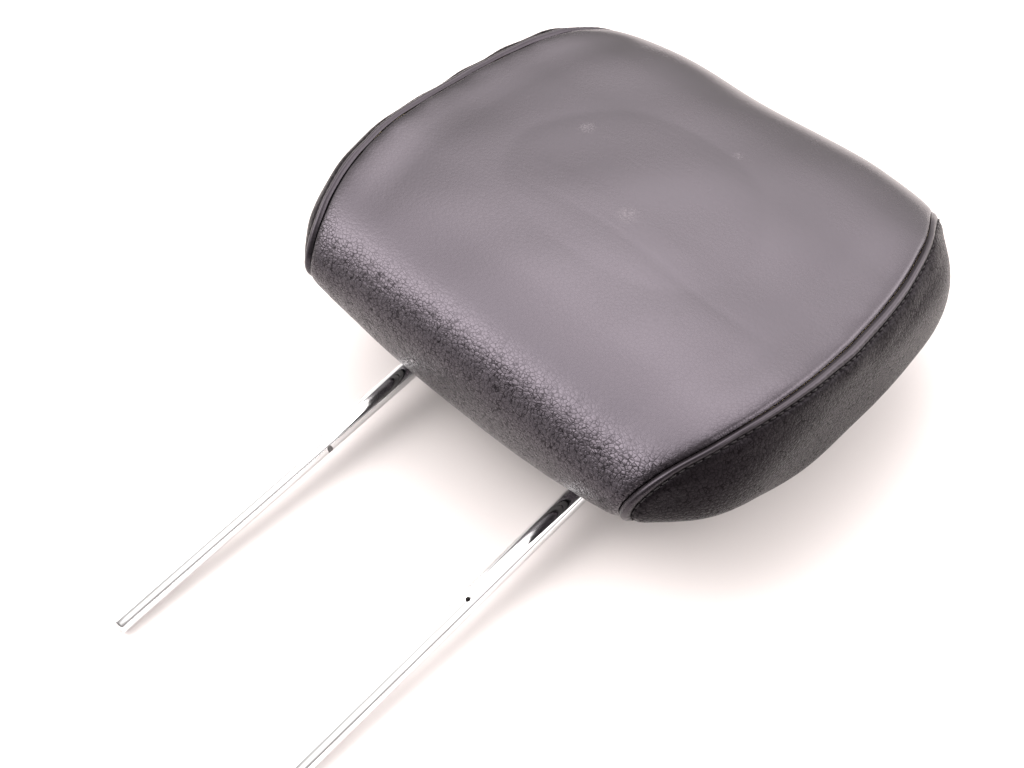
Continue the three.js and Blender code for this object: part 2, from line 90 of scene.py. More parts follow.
def inset(P, s, off, share):
    p = catmull(P, s)
    if off == 0:
        return p
    d = catmull(P, s + 0.05) - catmull(P, s - 0.05)
    l = np.hypot(d[..., 1], d[..., 2])
    ny, nz = d[..., 2] / l, -d[..., 1] / l
    flip = np.where((p[..., 1] - CY) * ny + (p[..., 2] - CZ) * nz < 0, -1, 1)
    return np.stack([p[..., 0] - share * off, p[..., 1] - ny * flip * off, p[..., 2] - nz * flip * off], -1)


def panel_base(s, t, off=0.0):
    """Centre panel. s runs round the loop, t from the left seam (-1) to the right one (1)."""
    r, m = inset(SEAM, s, off, 0.42), inset(SPINE, s, off, 0)
    g = np.abs(t) ** PANEL_Q
    p = m + (r - m) * g[..., None]
    p[..., 0] = (r[..., 0] - TRIM) * t
    u = np.mod(s, N)
    dip = 3.4 * np.exp(-(((u - 8.6) / 1.5) ** 2)) * np.where(np.abs(t) < 0.75, np.cos(math.pi * t / 1.5) ** 2, 0)
    q = inset(SPINE, s, off + 1, 0)
    p[..., 1] += (q[..., 1] - m[..., 1]) * dip
    p[..., 2] += (q[..., 2] - m[..., 2]) * dip
    return p


def side_base(s, r, side, off=0.0):
    """Side panel. r runs from its middle (0) to the seam (1)."""
    e = inset(SEAM, s, off, 0.42)
    x = SIDE_X - off + (e[..., 0] - (SIDE_X - off)) * r ** SIDE_Q
    return np.stack([side * (x + TRIM), CY + (e[..., 1] - CY) * r, CZ + (e[..., 2] - CZ) * r], -1)


def side_radius(s, d):
    e = catmull(SEAM, s)
    rho = np.sqrt((e[..., 1] - CY) ** 2 + (e[..., 2] - CZ) ** 2 + (SIDE_Q * (SIDE_X - e[..., 0])) ** 2)
    return 1 - d / rho


def outward(n, p):
    c = p - np.array([0, CY, CZ])
    return n * np.where((n * c).sum(-1, keepdims=True) < 0, -1, 1)


def panel_normal(s, t):
    t = np.clip(t, -0.999, 0.999)
    n = np.cross(panel_base(s + 0.02, t) - panel_base(s - 0.02, t), panel_base(s, t + 0.001) - panel_base(s, t - 0.001))
    return outward(unit(n), panel_base(s, t))


def side_normal(s, r, side):
    r = np.clip(r, 0.02, 0.999)
    n = np.cross(side_base(s + 0.02, r, side) - side_base(s - 0.02, r, side),
                 side_base(s, r + 0.001, side) - side_base(s, r - 0.001, side))
    return outward(unit(n), side_base(s, r, side))


def edge_normal(s, side):
    one = np.ones_like(s)
    return unit(panel_normal(s, side * one) + side_normal(s, one, side))


def by_length(P, n, start, stop, closed):
    """n stations between start and stop, evenly spaced along the curve, and the curve's length."""
    u = np.linspace(start, stop, 6000)
    p = catmull(P, u)
    l = np.concatenate([[0], np.cumsum(np.linalg.norm(np.diff(p, axis=0), axis=1))])
    at = np.linspace(0, l[-1], n + 1)[:-1] if closed else np.linspace(0, l[-1], n)
    return np.interp(at, l, u), at, l[-1]


def waves(p, count, low, high, seed):
    """Smooth noise of unit size: plane waves with wavelengths from low to high millimetres."""
    r = np.random.default_rng(seed)
    out = np.zeros(p.shape[:-1])
    for _ in range(count):
        k = unit(r.normal(size=3)) * 2 * math.pi / r.uniform(low, high)
        out += np.sin(p @ k + r.uniform(0, 6.28))
    return out / math.sqrt(count / 2)


def post_entry(side):
    """Where a post leaves the lower back, and the cover's direction there."""
    start = np.array([POST_HALF, POST_END_Y, POST_R / math.cos(POST_SLOPE) - 2 * 0.0745])
    a, b = 15.2, 17.2

    def err(s):
        t = side * POST_HALF / catmull(SEAM, np.array([s]))[0, 0]
        p = panel_base(np.array([s]), np.array([t]))[0]
        return p[2] - (start[2] + (p[1] - start[1]) * 0.0745)

    ea = err(a)
    for _ in range(50):
        m = (a + b) / 2
        if (err(m) > 0) == (ea > 0):
            a = m
        else:
            b = m
    s = np.array([(a + b) / 2])
    t = side * POST_HALF / catmull(SEAM, s)[:, 0]
    return panel_base(s, t)[0], panel_normal(s, t)[0]


ENTRIES = [post_entry(-1), post_entry(1)]


# ------------------------------------------------------------------ swell of the filled cover, by cloth simulation
def to_world(p):
    q = np.asarray(p, float).copy()
    q[..., 1] += SHIFT_Y
    return q * MM


def simulate_swell():
    """Inflates a coarse copy of the cover, held at its seams. Returns its points at rest and how each moved, in millimetres."""
    ns, inset_by = 114, 2.0
    s = np.arange(ns) * N / ns
    t = np.linspace(-1, 1, 41)
    S, T = np.meshgrid(s, t, indexing="ij")
    centre = panel_base(S, T, inset_by)
    verts, faces = [], []

    def add(grid):
        base = len(verts)
        n, m = grid.shape[:2]
        verts.extend(map(tuple, to_world(grid).reshape(-1, 3)))
        for i in range(n):
            k = (i + 1) % n
            for j in range(m - 1):
                faces.append((base + i * m + j, base + i * m + j + 1, base + k * m + j + 1, base + k * m + j))

    add(centre)
    for side in (-1, 1):
        r = np.concatenate([[1.0], np.linspace(0.97, 0.04, 13)])
        S2, R2 = np.meshgrid(s, r, indexing="ij")
        g = side_base(S2, R2, side, inset_by)
        g[:, 0] = centre[:, 0 if side < 0 else -1]
        add(g)
        base = len(verts) - g.shape[0] * g.shape[1]
        faces.append(tuple(base + i * g.shape[1] + g.shape[1] - 1 for i in range(ns)))
    me = bpy.data.meshes.new("swell_rest")
    me.from_pydata(verts, [], faces)
    bm = bmesh.new()
    bm.from_mesh(me)
    bmesh.ops.remove_doubles(bm, verts=bm.verts, dist=2e-5)
    bmesh.ops.recalc_face_normals(bm, faces=bm.faces)
    bm.to_mesh(me)
    bm.free()
    ob = bpy.data.objects.new("swell_rest", me)
    bpy.context.scene.collection.objects.link(ob)
    mod = ob.modifiers.new("voxels", "REMESH")
    mod.mode, mod.voxel_size = "VOXEL", 0.005
    dg = bpy.context.evaluated_depsgraph_get()
    body = bpy.data.meshes.new_from_object(ob.evaluated_get(dg))
    cloth_ob = bpy.data.objects.new("swell_cloth", body)
    bpy.context.scene.collection.objects.link(cloth_ob)
    ob.hide_viewport = True
    n = len(body.vertices)
    rest = np.zeros(n * 3, np.float32)
    body.vertices.foreach_get("co", rest)
    rest = rest.reshape(-1, 3).astype(float)

    seam_line = KDTree(2 * 400)
    line = catmull(SEAM, np.linspace(0, N, 400, endpoint=False))
    for side in (-1, 1):
        for i, p in enumerate(line):
            seam_line.insert(to_world(np.array([side * p[0], p[1], p[2]])), i + (0 if side < 0 else 400))
    seam_line.balance()
    pin = cloth_ob.vertex_groups.new(name="held")
    for i in range(n):
        d = seam_line.find(rest[i])[2] / MM
        w = float(1 - smoothstep(np.array(d), 5.0, 13.0))
        if w > 0.001:
            pin.add([i], w, "REPLACE")
    cloth = cloth_ob.modifiers.new("cloth", "CLOTH")
    st = cloth.settings
    st.quality = 5
    st.mass = 0.3
    st.tension_stiffness = st.compression_stiffness = 15
    st.shear_stiffness = 5
    st.bending_stiffness = 0.5
    st.use_pressure = True
    st.uniform_pressure_force = 4
    st.effector_weights.gravity = 0
    st.vertex_group_mass = "held"
    cloth.collision_settings.use_collision = False
    cloth.collision_settings.use_self_collision = False
    scene = bpy.context.scene
    for f in range(1, 21):
        scene.frame_set(f)
    dg = bpy.context.evaluated_depsgraph_get()
    done = cloth_ob.evaluated_get(dg).data
    moved = np.zeros(n * 3, np.float32)
    done.vertices.foreach_get("co", moved)
    moved = moved.reshape(-1, 3).astype(float)
    scene.frame_set(1)
    for o in (cloth_ob, ob):
        bpy.data.objects.remove(o)
    return rest / MM, (moved - rest) / MM, inset_by


SWELL = None
rest_points, movement, inset_by = simulate_swell()
length = np.linalg.norm(movement, axis=1, keepdims=True)
movement *= np.minimum(1, 8.0 / np.maximum(length, 1e-9))  # no point moves more than 8 mm
tree = KDTree(len(rest_points))
for i, p in enumerate(rest_points):
    tree.insert(p, i)
tree.balance()
SWELL = (tree, movement, inset_by)
print("swell: points", len(rest_points), "largest move mm", float(np.linalg.norm(movement, axis=1).max()))


def swell_at(p, n):
    """Millimetres that the filled cover stands off its drawn shape at p, from the simulation."""
    if SWELL is None:
        return np.zeros(p.shape[:-1])
    tree, movement, inset_by = SWELL
    q = p.copy()
    q[..., 1] += SHIFT_Y
    flat, normals = q.reshape(-1, 3), n.reshape(-1, 3)
    out = np.zeros(len(flat))
    for k in range(len(flat)):
        found = tree.find_n(Vector(flat[k]), 10)
        w = np.array([math.exp(-(f[2] / 6.5) ** 2) for f in found]) + 1e-9
        d = movement[[f[1] for f in found]]
        out[k] = (w[:, None] * d).sum(0) @ normals[k] / w.sum()
    return (out - inset_by).reshape(p.shape[:-1])


def calm(p):
    """0 where hard pieces meet the cover, 1 elsewhere."""
    out = np.ones(p.shape[:-1])
    for c, _ in ENTRIES:
        out *= smoothstep(np.linalg.norm(p - c, axis=-1), 15, 34)
    end = panel_base(np.array([CLOSURE_S]), np.array([0.0]))[0]
    out *= smoothstep(np.hypot(p[..., 1] - end[1], p[..., 2] - end[2]), 6, 22)
    return out


# ------------------------------------------------------------------ cover meshes
def sheet_object(name, grid, loops, pole=None, floats=None):
    """A grid of points (n, m, 3) in millimetres as a mesh. loops closes the first direction, pole closes the last column."""
    n, m = grid.shape[:2]
    co = to_world(grid).reshape(-1, 3)
    i = np.arange(n if loops else n - 1)
    j = np.arange(m - 1)
    I, J = np.meshgrid(i, j, indexing="ij")
    K = (I + 1) % n
    quads = np.stack([I * m + J, K * m + J, K * m + J + 1, I * m + J + 1], -1).reshape(-1, 4)
    faces = [tuple(q) for q in quads.tolist()]
    verts = co.tolist()
    if pole is not None:
        verts.append(to_world(pole).tolist())
        c = len(verts) - 1
        faces += [(int(a * m + m - 1), int(((a + 1) % n) * m + m - 1), c) for a in range(n)]
    me = bpy.data.meshes.new(name)
    me.from_pydata(verts, [], faces)
    for key, values in (floats or {}).items():
        v = values.reshape(-1)
        if pole is not None:
            v = np.append(v, v[-1])
        layer = me.attributes.new(key, "FLOAT", "POINT")
        layer.data.foreach_set("value", v.astype(np.float32))
    uv = me.uv_layers.new(name="OFBake")
    loop_vert = np.zeros(len(me.loops), np.int32)
    me.loops.foreach_get("vertex_index", loop_vert)
    loop_vert = loop_vert.astype(int)
    if pole is None:
        U, V = (loop_vert // m) / max(n - 1, 1), (loop_vert % m) / (m - 1)
    else:
        a = np.minimum(loop_vert, n * m - 1)
        ang = 2 * math.pi * (a // m) / n
        rad = np.where(loop_vert >= n * m, 0, 1 - (a % m) / m)
        U, V = 0.5 + 0.49 * rad * np.cos(ang), 0.5 + 0.49 * rad * np.sin(ang)
    uv.data.foreach_set("uv", np.stack([U, V], -1).astype(np.float32).ravel())
    ob = bpy.data.objects.new(name, me)
    bpy.context.scene.collection.objects.link(ob)
    return ob


def face_outward(ob):
    me = ob.data
    me.update()
    c = np.array([0, (CY + SHIFT_Y) * MM, CZ * MM])
    total = sum(p.area * (Vector(c) - p.center).dot(p.normal) for p in list(me.polygons)[::37])
    if total > 0:
        me.flip_normals()


def thicken(ob):
    """Gives the leather its thickness, inward, with its cut edges closed."""
    mod = ob.modifiers.new("leather", "SOLIDIFY")
    mod.thickness, mod.offset, mod.use_rim = LEATHER_T * MM, -1, True
    dg = bpy.context.evaluated_depsgraph_get()
    done = bpy.data.meshes.new_from_object(ob.evaluated_get(dg))
    ob.modifiers.clear()
    old = ob.data
    ob.data = done
    done.name = ob.name
    bpy.data.meshes.remove(old)
    done.polygons.foreach_set("use_smooth", [True] * len(done.polygons))


def profile(points, sigma):
    """A smooth height profile over the distance from the seam, through the given points."""
    x = np.arange(-3, 40, 0.05)
    p = np.array(points, float)
    y = np.interp(x, p[:, 0], p[:, 1])
    k = np.exp(-0.5 * (np.arange(-40, 41) * 0.05 / sigma) ** 2)
    y = np.convolve(np.pad(y, 40, mode="edge"), k / k.sum(), mode="valid")
    return lambda d: np.interp(d, x, y)


# Centre panel: rolls down into the seams, with a slight swell beside them.
centre_profile = profile([(-3, -GROOVE - 0.9), (0, -GROOVE), (1.0, -0.70), (2.0, -0.18), (3.2, 0.06), (6, 0.2), (12, 0.14), (22, 0), (40, 0)], 0.42)
# Side panel: the folded seam allowance stands up as a rounded ridge, then dips at the top-stitching.
side_profile = profile([(-3, -GROOVE - 1.5), (0, -GROOVE), (0.9, -0.35), (1.7, 0.62), (2.6, 1.02), (3.6, 1.1), (4.6, 0.86), (5.6, 0.26),
                        (6.3, -0.42), (6.9, -0.46), (7.7, 0.0), (9.0, 0.36), (12, 0.3), (18, 0.05), (26, 0), (40, 0)], 0.32)


def fade(p):
    """The seams stand up on the face and lie flatter where they turn over the top."""
    return 1 - 0.62 * smoothstep(p[..., 1], 192, 222)


def pulled(p, side, d, reach):
    """The left seam is pulled inwards on the face, so more of the gusset shows beyond it. Millimetres along X."""
    return (2.8 if side < 0 else 0.0) * smoothstep(p[..., 2], 76, 96) * np.exp(-(d / reach) ** 2)


def rest_on_floor(p):
    """Flattens the crown of the back softly where it lies on the floor."""
    z = p[..., 2]
    low = 0.25
    p[..., 2] = np.where(z < low + 1.2, low + 1.2 * np.exp(np.minimum((z - low - 1.2) / 1.2, 0)) * 0.999, z)
    return p


def build_centre():
    edge = np.array([0, 0.35, 0.75, 1.2, 1.7, 2.3, 3.0, 3.9, 5.0, 6.3, 8.0, 10.5, 14.0])
    mid = 84
    n = 392
    s_seam, _, _ = by_length(SEAM, n, CLOSURE_S + CLOSURE_GAP, CLOSURE_S + N - CLOSURE_GAP, False)
    s_mid, _, _ = by_length(SPINE, n, CLOSURE_S + CLOSURE_GAP, CLOSURE_S + N - CLOSURE_GAP, False)
    s = (s_seam + s_mid) / 2
    w = catmull(SEAM, s)[:, 0]
    left = -1 + edge[None, :] / w[:, None]
    inner = np.linspace(-1, 1, mid + 2)[None, 1:-1] * (1 - 14.0 / w[:, None]) * 0.999
    t = np.concatenate([left, inner, -left[:, ::-1]], 1)
    S = np.repeat(s[:, None], t.shape[1], 1)
    p = panel_base(S, t)
    normal = panel_normal(S, t)
    d = (1 - np.abs(t)) * w[:, None]
    for side in (-1, 1):
        e = edge_normal(s, side)[:, None, :]
        k = (np.exp(-(d / 2.2) ** 2) * (t * side > 0))[..., None]
        normal = unit(normal * (1 - k) + e * k)
    h = centre_profile(d) * fade(p)
    p[..., 0] += np.where(t < 0, pulled(p, -1, d, 17.0), 0.0)
    soft = calm(p)
    # seams are a little uneven, and the leather lies over its foam in long low waves
    h += np.exp(-(d / 7) ** 2) * 0.10 * waves(p, 9, 14, 34, 3) * soft
    h += 0.22 * waves(p, 12, 45, 110, 5) * smoothstep(d, 4, 30) * soft
    h += smoothstep(d, 6, 34) * soft * np.clip(swell_at(p, normal) - 1.2, -1.0, 1.0)
    # the shallow line across the face where the cover was folded
    face = smoothstep(p[..., 2], 80, 96)
    across = p[..., 1] - CREASE_Y - 2.2 * np.cos((p[..., 0] - 8) / 24.0)
    along = smoothstep(p[..., 0], -60, -5) * (1 - smoothstep(p[..., 0], 88, 116))
    h -= face * along * (0.06 * np.exp(-(across / 2.4) ** 2) + 0.12 * np.exp(-(across / 9) ** 2))
    # gathers of the stretched hide over the lower lip
    lip = np.exp(-((p[..., 1] - 2) / 13) ** 2) * smoothstep(p[..., 2], 58, 80)
    h += lip * 0.10 * np.sin(p[..., 0] * 2 * math.pi / 11.5 + 1.6 * waves(p, 6, 25, 60, 8)) * smoothstep(d, 2, 10)
    p = rest_on_floor(p + normal * h[..., None])
    # grain depth, highest on the lower lip; the leather material also uses it to scale the painted shade in the grain's
    # creases
    grain = np.clip(0.06 + 1.0 * (1 - smoothstep(p[..., 1], -10, 32)) ** 1.1 + 0.34 * np.exp(-(d / 9) ** 2)
                    + 0.5 * (1 - smoothstep(p[..., 2], 60, 95)) + 0.10 * smoothstep(-p[..., 1], -130, -60), 0, 1)
    ob = sheet_object("cushion_centre", p, False, None, {"grain": grain, "seam": d})
    # openings for the post bezels
    bm = bmesh.new()
    bm.from_mesh(ob.data)
    for c, nrm in ENTRIES:
        c, nrm = Vector(to_world(c)), Vector(nrm)

        def polar(v):
            q = v - c
            a = q.dot(nrm)
            return a, q - nrm * a

        gone = []
        for f in bm.faces:
            q = f.calc_center_median()
            if (q - c).length < 0.03:
                a, r = polar(q)
                if r.length < BEZEL_R * MM and abs(a) < 0.01:
                    gone.append(f)
        bmesh.ops.delete(bm, geom=gone, context="FACES")
        for v in bm.verts:
            if v.is_boundary and (v.co - c).length < 0.022:
                a, r = polar(v.co)
                v.co = c + nrm * (min(a, 0.0006) - 0.0003) + r.normalized() * BEZEL_R * MM
    bm.to_mesh(ob.data)
    bm.free()
    face_outward(ob)
    thicken(ob)
    return ob


SIDE_D = np.array([0, 0.3, 0.6, 0.9, 1.25, 1.6, 2.0, 2.45, 2.9, 3.4, 3.9, 4.4, 4.9, 5.3, 5.7, 6.05, 6.35, 6.6, 6.85, 7.15, 7.5,
                   7.95, 8.5, 9.3, 10.4, 12.0, 14.2, 17.5])
SIDE_ROW = int(np.argmin(np.abs(SIDE_D - STITCH_D)))


def build_side(side):
    n = 800
    s, at, length = by_length(SEAM, n, 0, N, True)
    pitch = length / round(length / STITCH_PITCH)
    r_edge = side_radius(s[:, None], SIDE_D[None, :])
    f = 1 - np.linspace(0, 1, 25)[1:-1] ** 1.12
    r = np.concatenate([r_edge, r_edge[:, -1:] * f[None, :]], 1)
    S = np.repeat(s[:, None], r.shape[1], 1)
    p = side_base(S, r, side)
    normal = side_normal(S, r, side)
    rho = (SIDE_D[5]) / (1 - r_edge[:, 5])
    d = (1 - r) * rho[:, None]
    e = edge_normal(s, side)[:, None, :]
    k = np.exp(-(d / 1.8) ** 2)[..., None]
    normal = unit(normal * (1 - k) + e * k)
    seed = 31 if side > 0 else 57
    rr = np.random.default_rng(seed)
    stitches = round(length / pitch)
    pull = np.repeat(rr.uniform(0.55, 1.35, stitches), 1)
    index = np.floor(at / pitch + 0.5).astype(int) % stitches
    hole = (0.5 + 0.5 * np.cos(2 * math.pi * at / pitch)) ** 2.2 * pull[index]
    h = side_profile(d) * fade(p)
    if side < 0:
        h += 0.5 * smoothstep(p[..., 2], 76, 96) * np.exp(-((d - 13) / 8) ** 2)
    h -= hole[:, None] * (0.30 * np.exp(-((d - 6.6) / 0.75) ** 2) + 0.15 * np.exp(-((d - 5.0) / 1.3) ** 2) + 0.13 * np.exp(-((d - 8.4) / 1.4) ** 2))
    h += 0.13 * waves(p, 9, 11, 30, seed) * np.exp(-((d - 3) / 5) ** 2)
    # soft dents and rises that run from the stitching down the gusset
    h += 0.34 * waves(p, 10, 16, 40, seed + 1) * np.exp(-((d - 13) / 8) ** 2)
    h += 0.30 * waves(p, 12, 40, 100, seed + 2) * smoothstep(d, 8, 26)
    h += smoothstep(d, 9, 32) * np.clip(swell_at(p, normal) - 1.2, -1.2, 0.6)
    p[..., 0] += pulled(p, side, d, 15.0)
    p = p + normal * h[..., None]
    pole = p[:, -1].mean(0)
    # grain depth on the gusset; it also scales the painted shade in the grain's creases
    grain = np.clip(0.95 - 0.62 * (1 - smoothstep(d, 4.8, 7.2)), 0, 1)
    ob = sheet_object("cushion_side_" + ("right" if side > 0 else "left"), p, True, pole, {"grain": grain, "seam": 100 + d})
    face_outward(ob)
    thicken(ob)
    return ob, p[:, SIDE_ROW], normal[:, SIDE_ROW], at, length, pitch


def build_stitches(side, line, normal, at, length, pitch):
    """Lock stitches: each thread comes out of one hole, lies in the channel and goes into the next."""
    count = round(length / pitch)
    rr = np.random.default_rng(5 if side > 0 else 6)
    ext_at = np.append(at, length)
    ext_p = np.vstack([line, line[:1]])
    ext_n = np.vstack([normal, normal[:1]])

    def sample(u):
        u = u % length
        return (np.array([np.interp(u, ext_at, ext_p[:, k]) for k in range(3)]),
                unit(np.array([np.interp(u, ext_at, ext_n[:, k]) for k in range(3)])))

    verts, faces, sides = [], [], 8
    along = [0.02, 0.07, 0.16, 0.32, 0.5, 0.68, 0.84, 0.93, 0.98]
    lift = [-0.30, 0.02, 0.30, 0.40, 0.42, 0.40, 0.30, 0.02, -0.30]
    thick = [0.20, 0.30, 0.37, 0.40, 0.40, 0.40, 0.37, 0.30, 0.20]
    for k in range(count):
        slant = rr.uniform(0.10, 0.26)
        centres = []
        for a, l in zip(along, lift):
            q, nn = sample((k + 0.04 + 0.92 * a) * pitch)
            centres.append((q, nn, a, l))
        direction = unit(centres[-1][0] - centres[0][0])
        base = len(verts)
        for (q, nn, a, l), rad in zip(centres, thick):
            nn = unit(nn - direction * (nn @ direction))
            across = np.cross(direction, nn)
            # the channel floor rises between the holes, so the thread rides on the mean of both
            c = q + nn * l + across * (a - 0.5) * slant * 2
            for m in range(sides):
                ang = 2 * math.pi * m / sides
                verts.append((to_world(c + rad * (math.cos(ang) * nn + math.sin(ang) * across))).tolist())
        rings = len(along)
        for i in range(rings - 1):
            for m in range(sides):
                m2 = (m + 1) % sides
                faces.append((base + i * sides + m, base + i * sides + m2, base + (i + 1) * sides + m2, base + (i + 1) * sides + m))
        faces.append(tuple(base + m for m in reversed(range(sides))))
        faces.append(tuple(base + (rings - 1) * sides + m for m in range(sides)))
    name = "stitches_" + ("right" if side > 0 else "left")
    me = bpy.data.meshes.new(name)
    me.from_pydata(verts, [], faces)
    bm = bmesh.new()
    bm.from_mesh(me)
    bmesh.ops.recalc_face_normals(bm, faces=bm.faces)
    bm.to_mesh(me)
    bm.free()
    me.polygons.foreach_set("use_smooth", [True] * len(me.polygons))
    ob = bpy.data.objects.new(name, me)
    bpy.context.scene.collection.objects.link(ob)
    return ob


# ------------------------------------------------------------------ the bent stay
NOTCHES = [(-1, -1, 37, 1.3, 4.2), (1, -1, 37, 1.3, 4.2), (-1, 1, 136.5, 1.0, 3.4)]


def build_stay():
    tan = 0.0745
    cs, sn = math.cos(POST_SLOPE), math.sin(POST_SLOPE)

    def axis_z(y):
        return POST_R / cs + (y + 182) * tan

    start = np.array([POST_HALF, POST_END_Y, axis_z(POST_END_Y)])
    leg = np.array([0, cs, sn])
    k0 = np.array([POST_HALF, 62.0, axis_z(62.0)])
    straight = np.linalg.norm(k0 - start)
    tip = [(1.6 * (1 - math.cos(a)), POST_R - 1.6 + 1.6 * math.sin(a)) for a in np.linspace(0, math.pi / 2, 9)]
    rings = [(start + leg * d, leg, r) for d, r in tip]
    stops = set()
    for side, face, at, depth, width in NOTCHES:
        stops |= {round(x, 3) for x in np.linspace(at - width / 2 - 0.2, at + width / 2 + 0.2, 47)}
    stops |= {round(x, 3) for x in np.arange(6, straight - 3, 9.0)}
    last = 1.6
    for d in sorted(stops):
        if d - last > 0.05:
            rings.append((start + leg * d, leg, POST_R))
            last = d
    kink = math.radians(19)
    for i in range(21):
        a = kink * i / 20
        u, v = 60 * math.sin(a), 60 * (1 - math.cos(a))
        tangent = np.array([0, math.cos(POST_SLOPE + a), math.sin(POST_SLOPE + a)])
        rings.append((np.array([POST_HALF, k0[1] + u * cs - v * sn, k0[2] + u * sn + v * cs]), tangent, POST_R))
    k1 = rings[-1][0]
    d = np.array([0, math.cos(POST_SLOPE + kink), math.sin(POST_SLOPE + kink)])
    ex = np.array([1.0, 0, 0])
    for i in range(25):
        a = math.pi / 2 * i / 24
        rings.append((k1 + d * (70 - 22 + 22 * math.sin(a)) - ex * 22 * (1 - math.cos(a)), unit(d * math.cos(a) - ex * math.sin(a)), POST_R))
    rings.append((np.array([0, *(k1 + d * 70)[1:]]), -ex, POST_R))
    flip = np.array([-1, 1, 1])
    rings += [(p * flip, -(t * flip), r) for p, t, r in rings[-2::-1]]

    sides = 72
    normals = [unit(np.array([0, 0, 1.0]) - leg * leg[2])]
    for i in range(1, len(rings)):
        v = normals[-1] - rings[i][1] * (normals[-1] @ rings[i][1])
        normals.append(unit(v))
    verts, notch_dirt_and_shade = [], []
    ang = 2 * math.pi * np.arange(sides) / sides
    for (p, t, r), nn in zip(rings, normals):
        b = np.cross(t, nn)
        verts.append(p + r * (np.cos(ang)[:, None] * nn + np.sin(ang)[:, None] * b))
    verts = np.array(verts)
    notch_dirt_and_shade = np.zeros(verts.shape[:2])
    for side, face, at, depth, width in NOTCHES:
        u = (verts - start * np.array([side, 1, 1])) @ leg - at
        on = (verts[..., 0] * side > 30) & (np.abs(u) < width / 2)
        x = (verts[..., 0] - side * POST_HALF) * face
        floor = (POST_R - depth + width / 2) - np.sqrt(np.maximum((width / 2) ** 2 - u ** 2, 0))
        cut = on & (x > floor)
        verts[..., 0] = np.where(cut, side * POST_HALF + face * floor, verts[..., 0])
        # mark the notch surface, where the chrome is darkened, partly for grime and partly as painted shade
        notch_dirt_and_shade = np.where(cut, 1.0, notch_dirt_and_shade)
    n = len(rings)
    flat = [to_world(v).tolist() for v in verts.reshape(-1, 3)]
    faces = []
    for i in range(n - 1):
        for m in range(sides):
            m2 = (m + 1) % sides
            faces.append((i * sides + m, i * sides + m2, (i + 1) * sides + m2, (i + 1) * sides + m))
    extra = []
    for ring, (p, t, r) in ((0, rings[0]), (n - 1, rings[-1])):
        base = len(flat)
        for share in (0.72, 0.3):
            flat += [to_world(p + (v - p) * share).tolist() for v in verts[ring]]
        flat.append(to_world(p).tolist())
        c = len(flat) - 1
        for m in range(sides):
            m2 = (m + 1) % sides
            faces.append((ring * sides + m, ring * sides + m2, base + m2, base + m))
            faces.append((base + m, base + m2, base + sides + m2, base + sides + m))
            faces.append((base + sides + m, base + sides + m2, c))
    me = bpy.data.meshes.new("stay_bent")
    me.from_pydata(flat, [], faces)
    layer = me.attributes.new("notch", "FLOAT", "POINT")
    values = np.zeros(len(flat), np.float32)
    values[: n * sides] = notch_dirt_and_shade.reshape(-1)
    layer.data.foreach_set("value", values)
    bm = bmesh.new()
    bm.from_mesh(me)
    bmesh.ops.recalc_face_normals(bm, faces=bm.faces)
    bm.to_mesh(me)
    bm.free()
    me.polygons.foreach_set("use_smooth", [True] * len(me.polygons))
    me.set_sharp_from_angle(angle=math.radians(38))
    ob = bpy.data.objects.new("stay_bent", me)
    bpy.context.scene.collection.objects.link(ob)
    return ob


